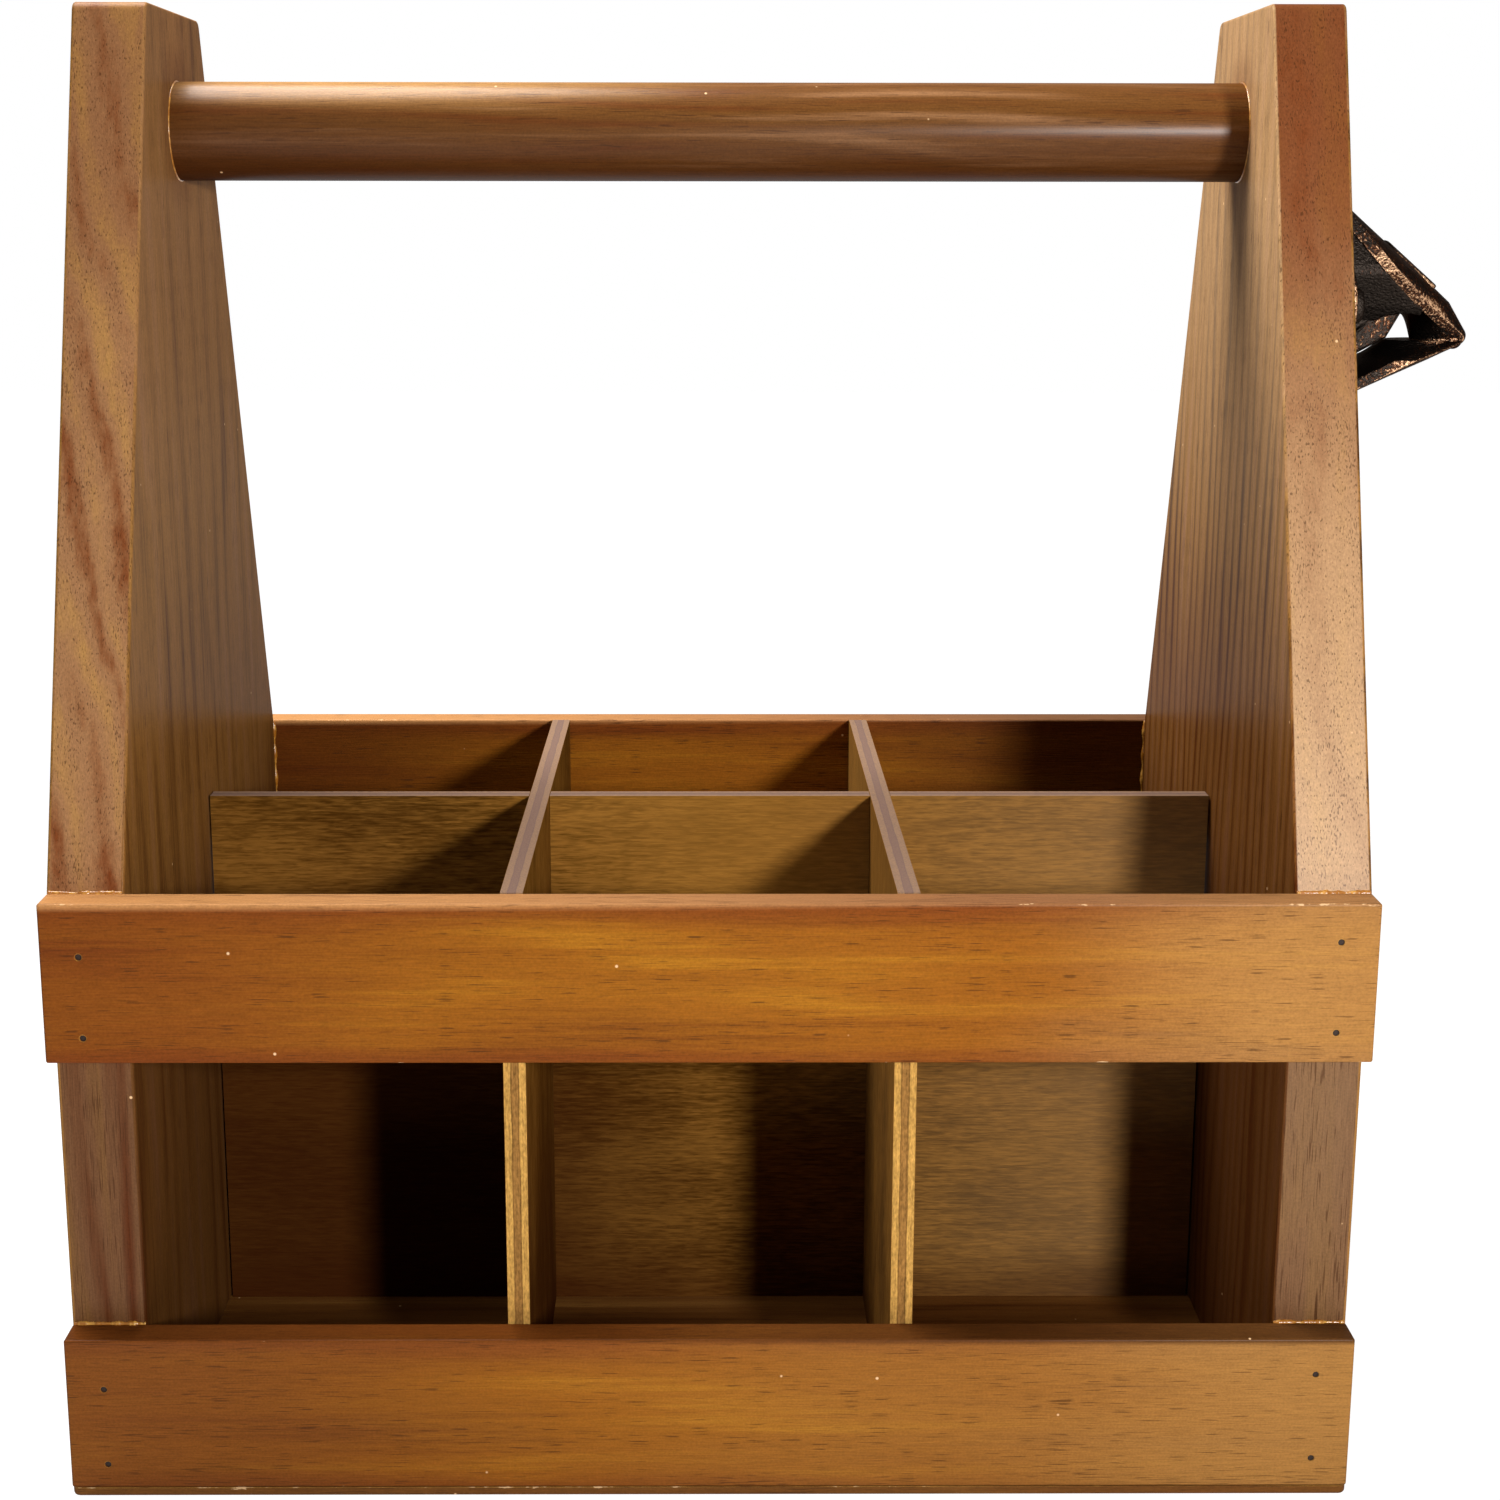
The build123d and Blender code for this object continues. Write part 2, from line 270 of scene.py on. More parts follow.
def worn_edges(tree, radius):
    """Where a face nears an edge, from 0 to 1, and the normal of edges rounded by the radius."""
    facing = node(tree, "NewGeometry", out="True Normal")
    eased = node(tree, "Bevel", {"Radius": radius}, samples=6)
    edge = node(tree, "VectorMath", {0: facing, 1: eased}, out="Value", operation="DOT_PRODUCT")
    return ramp(tree, edge, 0.995, 0.85), eased


def surface(tree, inputs, height, depth_mm, eased=None):
    """Ends a material: the surface shader, with the height as bump of the given depth over the
    normal of eased edges, if there are any."""
    bump = {"Height": height, "Distance": depth_mm * MM, "Strength": 1.0}
    if eased is not None:
        bump["Normal"] = eased
    inputs = {**inputs, "Normal": node(tree, "Bump", bump)}
    node(tree, "OutputMaterial", {"Surface": node(tree, "BsdfPrincipled", inputs)})


def figure(tree, place, tones, ring_mm, ring_share, streak_share=0.5, streak_mm=1.6, pools=()):
    """Figure of one face of a softwood board, with that face's own pools of stain.

    ring_mm is how far apart the growth rings lie along each of the three turned axes. Each ring
    is palest two fifths of the way across and dark at both its lines, which wander by up to
    rings_wander rings; streaks run along the grain.
    """
    blotch = marks(tree, place, 90.0, 16.0, 2.0)
    streak = marks(tree, place, 60.0, streak_mm, 3.0, 0.55, seed=11.0)
    wander = marks(tree, place, 110.0, 20.0, 1.0, seed=5.0)
    rings_wander, palest = 2.4, 0.4
    phase = {0: place, 1: tuple(1 / r for r in ring_mm)}
    phase = node(tree, "VectorMath", phase, out="Value", operation="DOT_PRODUCT")
    phase = weighted(tree, (phase, 1.0, 0.0), (wander, rings_wander, 0.0))
    saw = node(tree, "Math", {0: phase}, operation="FRACT")
    ring = {0: ramp(tree, saw, 0.0, palest), 1: ramp(tree, saw, 1.0, palest)}
    ring = node(tree, "Math", ring, operation="MULTIPLY")
    tone = weighted(
        tree,
        (blotch, 0.5, 0.5), (streak, streak_share, 0.5), (ring, ring_share, 0.5), (1.0, 0.5, 0.0),
    )
    dark, middle, light = tones
    base = painted(
        tree, (*dark, 1.0), (middle, tone, 0.15, 0.5, 1.0), (light, tone, 0.5, 0.85, 1.0)
    )
    return pooled(tree, base, blotch, pools)


def stained_softwood(
    name, turn, shift, figures, pools=(), arrises=(), pore_level=0.68, coat=0.12
):
    """Pine stained brown and varnished satin: soft bands of growth rings, fine fibres, short dark
    pores in groups, pale flecks in the varnish, and chips along the arrises.

    figures are (centre_mm, mask, settings of figure): the first one covers the board and each
    further one the faces that its mask finds within about half a millimetre of its centre.
    arrises are (centre_mm, mask) of the edges that have been knocked, and fewer pores show at a
    higher pore_level.
    """
    stain = bpy.context.scene.caddy_stain
    material, tree = new_material(name)
    place = millimetres(tree, turn, shift)
    base = figure(tree, place, **figures[0][2])
    for centre_mm, mask, settings in figures[1:]:
        cover = ramp(tree, away_from(tree, centre_mm, mask), 0.7, 0.4)
        layers = {0: cover, 6: base, 7: figure(tree, place, **settings)}
        base = node(tree, "Mix", layers, out=2, data_type="RGBA")
    base = pooled(tree, base, marks(tree, place, 60.0, 16.0, 2.0), pools)

    # The grit in the varnish is drawn coarser than it is, so that it shows.
    fibre = marks(tree, place, stain.fibre_length / MM, stain.fibre_width / MM, 3.0, 0.6, seed=3.0)
    grit = marks(tree, place, 0.5, 0.4, 1.0, seed=9.0)
    base = shaded(tree, base, (fibre, 0.7, 0.5), (grit, 0.45, 0.5))

    # Pores crowd in groups, and about one fleck of dust lies in each dust_mm of varnish.
    dust_mm = 12.0
    pore = marks(tree, place, stain.pore_length / MM, stain.pore_width / MM, 0.0, seed=17.0)
    group = marks(tree, place, 30.0, 5.0, 1.0, seed=23.0)
    pore = weighted(tree, (pore, 1.0, 0.0), (group, 0.35, 0.5))
    dust = node(tree, "TexVoronoi", {"Vector": place, "Scale": 1 / dust_mm}, out="Distance")
    base = painted(
        tree, base,
        (stain.pore, pore, pore_level, pore_level + 0.1, 0.6),
        (stain.fleck, dust, 0.034, 0.015, 0.9),
    )

    # Rubbed edges show thin honey-coloured stain in places, partly a painted highlight along the
    # arrises, and knocked ones pale chips.
    chip = marks(tree, place, 4.0, 1.5, 3.0, 0.7, seed=29.0)
    worn = marks(tree, place, 45.0, 45.0, 1.0, seed=37.0)
    edge, eased = worn_edges(tree, stain.arris)
    thin = weighted(tree, (edge, 0.8, 0.0), (worn, 0.8, 0.6), (chip, 0.8, 0.5))
    base = painted(tree, base, (stain.honey, thin, 0.4, 1.0, 0.5))
    for centre_mm, mask in arrises:
        away = away_from(tree, centre_mm, mask)
        knocked = weighted(tree, (away, 0.4, 0.0), (chip, -1.0, 0.62), (worn, -0.9, 0.57))
        base = painted(tree, base, (stain.fleck, knocked, 0.1, 0.02, 0.7))

    height = weighted(tree, (fibre, 1.0, 0.5), (pore, -0.8, 0.5), (grit, 0.35, 0.5))
    wood = {"Base Color": base, "Roughness": 0.42, "Specular IOR Level": 0.0}
    varnish = {"Coat Weight": coat, "Coat Roughness": 0.3}
    surface(tree, {**wood, **varnish}, height, 0.06, eased)
    return material


def stained_plywood(name, through, middle_mm, turn, shift, face_pools, edge_pools):
    """Three-ply board stained dark: a dull rippled face veneer, and at its edges two pale
    long-grain plies with a darker end-grain ply between thin dark glue lines.

    through masks the axis through the board, and middle_mm is where the board's middle lies.
    """
    ply = bpy.context.scene.caddy_plywood
    stain = bpy.context.scene.caddy_stain
    material, tree = new_material(name)
    place = millimetres(tree, turn, shift)
    ripple = marks(tree, place, ply.ripple_length / MM, ply.ripple_width / MM, 2.0, 0.55, bend=0.4)
    cloud = marks(tree, place, 50.0, 18.0, 2.0, seed=7.0)
    fibre = marks(tree, place, 9.0, 0.3, 3.0, 0.6, seed=3.0)
    tone = weighted(
        tree, (ripple, 1.1, 0.5), (cloud, 0.8, 0.5), (fibre, 0.7, 0.5), (1.0, 0.45, 0.0)
    )
    face = painted(tree, (*ply.face_dark, 1.0), (ply.face_light, tone, 0.0, 1.0, 1.0))
    face = pooled(tree, face, cloud, face_pools)

    # The glue lines lie where the wavy middle ply ends, and the face veneer starts just under
    # the board's surface.
    depth = away_from(tree, middle_mm, through)
    wave = marks(tree, place, 8.0, 8.0, 2.0, seed=31.0)
    layer = weighted(tree, (depth, 1.0, 0.0), (wave, 0.5, 0.5))
    glue_line = ply.middle_ply / 2 / MM
    off_glue = weighted(tree, (layer, 1.0, glue_line))
    off_glue = node(tree, "Math", {0: off_glue}, operation="ABSOLUTE")
    grit = marks(tree, place, 0.9, 0.4, 1.0, seed=9.0)
    edge = painted(
        tree, (*ply.edge_light, 1.0),
        (ply.edge_dark, layer, glue_line + 0.08, glue_line - 0.08, 1.0),
        (stain.pore, off_glue, 0.16, 0.06, 0.5),
    )
    edge = shaded(tree, edge, (fibre, 1.2, 0.5), (grit, 1.2, 0.5))
    edge = pooled(tree, edge, cloud, edge_pools)
    edge_ends_mm, face_starts_mm = 2.17, 2.22
    at_face = ramp(tree, depth, edge_ends_mm, face_starts_mm)
    base = node(tree, "Mix", {0: at_face, 6: edge, 7: face}, out=2, data_type="RGBA")
    height = weighted(tree, (ripple, 1.4, 0.5), (fibre, 0.6, 0.5))
    gloss = {"Base Color": base, "Roughness": 0.55, "Specular IOR Level": 0.0}
    surface(tree, gloss, height, 0.08)
    return material


def antique_copper(name, wall_mm, foot_mm, rubbing=0.12):
    """Sand-cast iron plated with copper and blackened: a dark film that hands have rubbed down to
    golden copper on the beak's rims and along every edge, over gritty pits. Faces that look back
    to the wall stay dark and smoother.

    wall_mm and foot_mm are where the casting's back and its lowest point lie, and more rubbing
    shows more copper.
    """
    metal = bpy.context.scene.caddy_metal
    material, tree = new_material(name)
    place = millimetres(tree)
    pits = marks(tree, place, 0.7, 0.7, 3.0, 0.6)
    grit = marks(tree, place, metal.grit / MM, metal.grit / MM, 2.0, 0.6, seed=5.0)
    cloud = marks(tree, place, 7.0, 7.0, 2.0, seed=13.0)

    # The beak's rims face sideways, lie 24 mm and more out from the wall and stand above the
    # lower jaw.
    edge, eased = worn_edges(tree, metal.edge)
    facing = node(tree, "NewGeometry", out="True Normal")
    dot = {"out": "Value", "operation": "DOT_PRODUCT"}
    sideways = node(tree, "VectorMath", {0: facing, 1: Y_AXIS}, **dot)
    sideways = ramp(tree, node(tree, "Math", {0: sideways}, operation="ABSOLUTE"), 0.6, 0.8)
    rim = ramp(tree, away_from(tree, (wall_mm, 0, 0), (1, 1.3, 0)), 24.0, 27.0)
    above_jaw = ramp(tree, away_from(tree, (0, 0, foot_mm), Z_AXIS), 10.0, 15.0)
    for share in (sideways, above_jaw):
        rim = node(tree, "Math", {0: rim, 1: share}, operation="MULTIPLY")
    inwards = node(tree, "VectorMath", {0: facing, 1: (-1, 0, 0)}, **dot)
    inwards = ramp(tree, inwards, 0.05, 0.4)
    rubbed = weighted(
        tree,
        (pits, 1.2, 0.5), (grit, 2.6, 0.5), (cloud, 1.0, 0.5),
        (edge, 0.5, 0.0), (rim, 0.6, 0.0), (inwards, -0.6, 0.0), (1.0, rubbing, 0.0),
    )
    base = painted(
        tree, (*metal.patina, 1.0), (metal.brown, rubbed, 0.2, 0.55, 1.0),
        (metal.copper, rubbed, 0.55, 0.9, 1.0),
    )
    height = weighted(tree, (pits, 1.0, 0.5), (grit, 0.8, 0.5))
    gloss = {"Metallic": 1.0, "Roughness": 0.42, "Specular Tint": (0.3, 0.24, 0.2, 1.0)}
    surface(tree, {**gloss, "Base Color": base}, height, 0.35, eased)
    return material


def stained_steel(name):
    """Steel brad heads darkened by the stain: near black, with a dull brown grain that is drawn
    coarser than the real one, which doesn't show."""
    metal = bpy.context.scene.caddy_metal
    material, tree = new_material(name)
    grain = marks(tree, millimetres(tree), 0.3, 0.3, 2.0)
    base = painted(tree, (*metal.brad, 1.0), (metal.brown, grain, 0.4, 0.8, 0.4))
    surface(tree, {"Base Color": base, "Metallic": 0.6, "Roughness": 0.6}, grain, 0.03)
    return material


def pooled_varnish(name):
    """Varnish dried thick in a corner: amber, glassy and a little cloudy."""
    stain = bpy.context.scene.caddy_stain
    material, tree = new_material(name)
    cloud = marks(tree, millimetres(tree), 1.6, 1.6, 2.0)
    base = painted(tree, (*stain.amber, 1.0), (stain.honey, cloud, 0.45, 0.65, 0.7))
    gloss = {"Base Color": base, "Roughness": 0.28, "Coat Weight": 0.3, "Coat Roughness": 0.2}
    surface(tree, gloss, cloud, 0.1)
    return material


def box_mm(node_name):
    """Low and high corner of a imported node's box, in millimetres."""
    return tuple(np.array(corner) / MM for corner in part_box(node_name))


def finish(node_name, material):
    """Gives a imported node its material."""
    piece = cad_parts[node_name]
    if not piece.material_slots:
        piece.data.materials.append(material)
    piece.material_slots[0].material = material


def sheet(points):
    """Grid of points, rows by columns by three, as one open sheet."""
    rows, columns = points.shape[:2]
    index = np.arange(rows * columns).reshape(rows, columns)
    quads = np.stack([index[:-1, :-1], index[:-1, 1:], index[1:, 1:], index[1:, :-1]], -1)
    return points.reshape(-1, 3), quads.reshape(-1, 4).tolist()


def tube(path, radius, across, sides=12, closed=False):
    """Round tube: its point (i, j) is path[i] + radius[i] (cos a_j across + sin a_j beside_i),
    where a_j goes round in equal steps and beside_i is square to the path and to across. An open
    tube ends in a pole at each end of the path."""
    rows = len(path)
    ahead = np.roll(path, -1, 0) - np.roll(path, 1, 0) if closed else np.gradient(path, axis=0)
    beside = np.cross(ahead, across)
    beside /= np.linalg.norm(beside, axis=1)[:, None]
    angle = np.linspace(0, 2 * np.pi, sides, endpoint=False)[None, :, None]
    ring = np.cos(angle) * np.array(across) + np.sin(angle) * beside[:, None, :]
    points = (path[:, None, :] + radius[:, None, None] * ring).reshape(-1, 3)
    row = np.arange(rows if closed else rows - 1)[:, None]
    column = np.arange(sides)[None, :]
    corners = [(row, column), (row, column + 1), (row + 1, column + 1), (row + 1, column)]
    quads = np.stack([(r % rows) * sides + c % sides for r, c in corners], -1)
    faces = quads.reshape(-1, 4).tolist()
    if not closed:
        around = np.arange(sides)
        beyond = (around + 1) % sides
        first, last = rows * sides, rows * sides + 1
        points = np.vstack([points, path[:1], path[-1:]])
        faces += np.stack([np.full(sides, first), beyond, around], 1).tolist()
        end_row = (rows - 1) * sides
        faces += np.stack([np.full(sides, last), end_row + around, end_row + beyond], 1).tolist()
    return points, faces


def add_piece(name, parts, material, body):
    """One smooth mesh from (points, faces) parts, riding on a body."""
    points, faces, count = [], [], 0
    for part_points, part_faces in parts:
        points.append(part_points)
        faces += [[corner + count for corner in face] for face in part_faces]
        count += len(part_points)
    mesh = bpy.data.meshes.new(name)
    mesh.from_pydata(np.vstack(points).tolist(), [], faces)
    mesh.materials.append(material)
    mesh.shade_smooth()
    mesh.update()
    piece = bpy.data.objects.new(name, mesh)
    bpy.context.scene.collection.objects.link(piece)
    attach(piece, body)
    return piece


class CADDY_OT_end_panels(bpy.types.Operator):
    """Stains and varnishes the two end panels, grain upright"""

    bl_idname = "caddy.end_panels"
    bl_label = "End Panels"
    bl_options = {"REGISTER", "UNDO"}

    def execute(self, context):
        stain = context.scene.caddy_stain
        for name, end, shift, edge_ring_mm, face_ring_mm in END_PANELS_MM:
            low, high = box_mm(name)
            inner, outer = (low[0], high[0])[::end]
            edge = {
                "tones": (stain.red, stain.olive, stain.tan),
                "ring_mm": edge_ring_mm,
                "ring_share": 0.3,
                "streak_share": 0.35,
                "pools": self.edge_pools(stain, end, high[2]),
            }
            face = {
                "tones": (stain.deep_and_shade, stain.face, stain.olive),
                "ring_mm": face_ring_mm,
                "ring_share": 0.38 if end > 0 else 0.22,
                "streak_mm": 0.7,
            }
            figures = [
                (None, None, edge),
                ((inner, 0, 0), X_AXIS, {**face, "pools": self.face_pools(stain, end, high[2])}),
                ((outer, 0, 0), X_AXIS, face),
            ]
            knocks = self.knocks(stain, low) if end > 0 else []
            material = stained_softwood(
                name + "_pine", GRAIN_ALONG_Z, shift, figures, knocks, pore_level=0.66
            )
            finish(name, material)
        return {"FINISHED"}

    def box_shade_and_stain(self, stain):
        """Deep colour low in the box, partly darker stain and partly painted shade: whole up to the
        upper slats' foot, gone just above their top.
        """
        slat_low, slat_high = box_mm("front_upper_slat")
        return ((0, 0, 0), Z_AXIS, slat_low[2], slat_high[2] + 5.0, stain.deep_and_shade, 0.65, 10.0)

    def edge_pools(self, stain, end, top):
        """Pools on the edges: dark at the top on the left panel; on the right one, pale about the
        slats' top, partly thin stain and partly a painted sheen of the front lamp, and red at the
        top."""
        if end < 0:
            pools = [((0, 0, top), Z_AXIS, 30.0, 100.0, stain.dark, 0.35, 60.0)]
        else:
            slat_top = box_mm("front_upper_slat")[1][2]
            pools = [
                ((0, 0, slat_top), Z_AXIS, 10.0, 150.0, stain.bare, 0.6, 50.0),
                ((0, 0, top), Z_AXIS, 30.0, 100.0, stain.red, 0.8, 60.0),
            ]
        return [*pools, self.box_shade_and_stain(stain)]

    def face_pools(self, stain, end, top):
        """Pools on the inner face: pale at the top, on the right panel partly a painted sheen;
        painted shade in a dark ring round the handle, and dark from a little above the slats down."""
        slat_top = box_mm("front_upper_slat")[1][2]
        handle = tuple(sum(box_mm("handle_rod")) / 2)
        high_tone, low_share = (stain.bare, 0.55) if end > 0 else (stain.olive, 0.25)
        return [
            ((0, 0, top), Z_AXIS, 40.0, 130.0, high_tone, 0.5, 30.0),
            (handle, (0, 1, 1), 11.0, 20.0, stain.dark, 0.3, 8.0),
            ((0, 0, 0), Z_AXIS, slat_top + 10.0, slat_top + 70.0, stain.dark, low_share, 20.0),
            self.box_shade_and_stain(stain),
        ]

    def knocks(self, stain, low):
        """A fine upright crack low on the right panel's front edge, and a splinter on its inner
        face just above the slats."""
        crack = ((low[0] + 8.8, low[1], 35.5), (4.0, 0.0, 0.22), 0.9, 1.6)
        splinter = ((low[0], -68.0, 134.7), (1.0, 2.5, 0.6), 0.9, 1.6)
        return [(*crack, stain.pore, 0.8, 0.5), (*splinter, stain.pore, 0.7, 0.5)]


class CADDY_OT_handle(bpy.types.Operator):
    """Stains and varnishes the handle rod"""

    bl_idname = "caddy.handle"
    bl_label = "Handle"
    bl_options = {"REGISTER", "UNDO"}

    def execute(self, context):
        stain = context.scene.caddy_stain
        low, high = box_mm("handle_rod")
        # A painted highlight in the tan colour on the rod's top, towards the left end.
        painted_highlight_spot = (low[0] + 55.0, 0, high[2])

        # Painted shade along the underside, and darker towards the left end.
        pools = [
            ((0, 0, low[2]), Z_AXIS, 0.0, 14.0, stain.deep_and_shade, 0.7, 3.0),
            ((low[0], 0, 0), X_AXIS, 15.0, 90.0, stain.deep_and_shade, 0.4, 10.0),
            (painted_highlight_spot, (1, 0, 11), 15.0, 80.0, stain.tan, 0.7, 30.0),
        ]
        grain = {
            "tones": (stain.dark, stain.rod, stain.olive),
            "ring_mm": (400.0, 9.0, 7.0),
            "ring_share": 0.2,
        }
        material = stained_softwood(
            "handle_pine", GRAIN_ALONG_X, (30.0, 7.0, 4.0), [(None, None, grain)], pools, coat=0.25
        )
        finish("handle_rod", material)
        return {"FINISHED"}


class CADDY_OT_slats(bpy.types.Operator):
    """Stains and varnishes the four slats and the bottom board, each with a grain of its own"""

    bl_idname = "caddy.slats"
    bl_label = "Slats and Bottom Board"
    bl_options = {"REGISTER", "UNDO"}

    def execute(self, context):
        stain = context.scene.caddy_stain
        bright = (stain.dark, stain.middle, stain.light)
        dull = (stain.deep_and_shade, stain.rod, stain.face)
        boards = (
            ("front_upper_slat", bright), ("front_lower_slat", bright),
            ("back_upper_slat", bright), ("back_lower_slat", bright), ("bottom_board", dull),
        )
        for number, (name, tones) in enumerate(boards):
            low, high = box_mm(name)
            grain = {"tones": tones, "ring_mm": (600.0, 11.0, 16.0), "ring_share": 0.15}
            shift = (47.0 * number, 13.0 * number, 31.0 * number)
            pools = self.pools(stain, name, low, high)
            arrises = [((0, low[1], height), (0, 1, 1)) for height in (high[2], low[2])]
            material = stained_softwood(
                name + "_pine", GRAIN_ALONG_X, shift, [(None, None, grain)], pools, arrises
            )
            finish(name, material)
        return {"FINISHED"}

    def pools(self, stain, name, low, high):
        """Pools of stain on one board; the bottom board has none."""
        left, right = (low[0], 0, 0), (high[0], 0, 0)
        top, foot = (0, 0, high[2]), (0, 0, low[2])
        pools = []
        if "slat" in name:  # red at the left end and along both arrises
            pools += [
                (left, X_AXIS, 10.0, 85.0, stain.red, 0.5, 30.0),
                (top, Z_AXIS, 0.6, 6.0, stain.red, 0.7, 5.0),
                (foot, Z_AXIS, 0.6, 4.0, stain.red, 0.6, 4.0),
            ]
        if "front" in name:  # a touch paler along the middle, thin at the right end
            pools += [
                (tuple((low + high) / 2), (0.15, 0, 1), 2.0, 14.0, stain.light, 0.12, 10.0),
                (right, X_AXIS, 10.0, 80.0, stain.tan, 0.6, 40.0),
            ]
        if "back" in name:  # darker at both ends
            pools += [
                (left, X_AXIS, 30.0, 110.0, stain.deep_and_shade, 0.6, 20.0),
                (right, X_AXIS, 30.0, 110.0, stain.deep_and_shade, 0.75, 20.0),
            ]
        if "upper" in name:  # an olive top, and a painted highlight on it that is brightest at the left
            pools += [
                (top, Z_AXIS, 0.1, 0.7, stain.olive, 0.5, 0.0),
                ((low[0], 0, high[2]), (1, 0, 120), 30.0, 220.0, stain.pale, 0.7, 20.0),
            ]
        if "lower" in name:  # browner ends, and painted shade on the top, darkest at the right
            pools += [
                (left, X_AXIS, 20.0, 120.0, stain.rod, 0.4, 60.0),
                (right, X_AXIS, 60.0, 200.0, stain.face, 0.45, 60.0),
                ((high[0], 0, high[2]), (1, 0, 150), 40.0, 240.0, stain.deep_and_shade, 0.8, 0.0),
            ]
        return pools


class CADDY_OT_dividers(bpy.types.Operator):
    """Finishes the three plywood dividers of the loose crate"""

    bl_idname = "caddy.dividers"
    bl_label = "Dividers"
    bl_options = {"REGISTER", "UNDO"}

    def execute(self, context):
        stain, ply = context.scene.caddy_stain, context.scene.caddy_plywood
        half_crate_mm = 113.0
        low_left, right = (-half_crate_mm, 0, 0), (half_crate_mm, 0, 0)

        # Darker towards the lower left corner and along the foot; painted light at the top near the
        # middle, and paler towards the right.
        for name, through, turn in (
            ("long_divider", Y_AXIS, GRAIN_ALONG_X),
            ("left_cross_divider", X_AXIS, GRAIN_ALONG_Z),
            ("right_cross_divider", X_AXIS, GRAIN_ALONG_Z),
        ):
            low, high = box_mm(name)
            middle = tuple((low + high) / 2)
            face_pools = [
                (low_left, (1, 0, 1), 60.0, 160.0, stain.deep_and_shade, 0.9, 30.0),
                ((10.0, 0, high[2]), (1, 0, 1), 10.0, 60.0, ply.face_light, 0.5, 20.0),
                (right, X_AXIS, 0.0, 110.0, ply.face_tan, 0.5, 20.0),
                ((0, 0, 0), Z_AXIS, 3.0, 18.0, stain.deep_and_shade, 0.6, 8.0),
            ]
            edge_pools = [((0, 0, high[2]), Z_AXIS, 0.1, 0.4, ply.top, 0.7, 0.0)]
            material = stained_plywood(
                name + "_plywood", through, middle, turn, middle, face_pools, edge_pools
            )
            finish(name, material)
        return {"FINISHED"}


class CADDY_OT_metalwork(bpy.types.Operator):
    """Finishes the cast opener, its screws and the brads"""

    bl_idname = "caddy.metalwork"
    bl_label = "Opener, Screws and Brads"
    bl_options = {"REGISTER", "UNDO"}

    def execute(self, context):
        wall, _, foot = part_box("bottle_opener")[0]
        copper = antique_copper("antique_copper_casting", wall / MM, foot / MM)
        film = antique_copper("antique_copper_film", wall / MM, foot / MM, rubbing=-0.9)
        steel = stained_steel("stained_brad_steel")
        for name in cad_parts:
            if name.endswith("brads"):
                finish(name, steel)
            elif name == "bottle_opener":
                finish(name, copper)
            elif "opener" in name:
                finish(name, film)
        screw_low, screw_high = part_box("front_opener_screw")
        origin = np.array([wall, 0.0, (screw_low[2] + screw_high[2]) / 2])
        # The dark walls in the hood's sides are painted shade.
        self.shade_walls(origin, film)
        self.nose(origin, copper)
        return {"FINISHED"}

    def shade_walls(self, origin, material):
        """Thin dark walls that close the hood's sides: painted shade, standing for the dark inside
        of a hood that is open at the sides.

        A cheek's point (i, j) is (out_j, aside(up_ij), up_ij), with up_ij the share i of the way
        from foot(out_j) to roof(out_j). Foot, roof and aside are broken lines, all in millimetres
        from the wall, the middle and the screws' height. The roof is sunk into the hood.
        """
        sunk_mm, wall_mm = 0.8, 1.2
        out = np.linspace(2.0, 22.8, 60)
        foot = np.interp(out, (2.0, 9.5, 15.1, 19.3, 22.8), (-9.5, -5.3, -1.8, -1.2, -1.6))
        roof = np.interp(out, (2.0, 12.5, 20.8, 22.8), (21.0, 7.0, 0.0, -1.0)) + sunk_mm
        share = np.linspace(0.0, 1.0, 40)[:, None]
        up = foot + share * (roof - foot)
        aside = np.interp(up, (-3.0, 0.0, 7.0, 25.0), (9.6, 12.6, 18.2, 8.5))
        out = np.broadcast_to(out, up.shape)
        parts = []
        for side in (-1, 1):
            points, faces = sheet(np.stack([out, side * aside, up], -1)[:, ::side])
            parts.append((origin + points * MM, faces))
        piece = add_piece("opener_shade_walls", parts, material, "carcass")
        thick = piece.modifiers.new("wall", "SOLIDIFY")
        thick.thickness = wall_mm * MM

    def nose(self, origin, material):
        """Round bar across the beak's tip, from the wall, the middle and the screws' height.

        At the share t across the beak, from -1 to 1, the bar's middle lies half_width times t
        aside and out less bow times t squared from the wall. Its radius there is the thickest
        one times the root of 1 less t to the sixth.
        """
        out_mm, up_mm, bow_mm, half_width_mm = 32.9, -7.9, 1.2, 6.6
        thickest_mm, thinnest_mm = 2.1, 0.05
        across = np.linspace(-1.0, 1.0, 61)
        up = np.full(len(across), up_mm)
        path = np.stack([out_mm - bow_mm * across**2, half_width_mm * across, up], 1)
        radius = thickest_mm * np.clip(1.0 - across**6, 0.0, 1.0) ** 0.5
        radius = np.clip(radius, thinnest_mm, None)
        part = tube(origin + path * MM, radius * MM, X_AXIS, sides=32)
        add_piece("opener_nose", [part], material, "carcass")


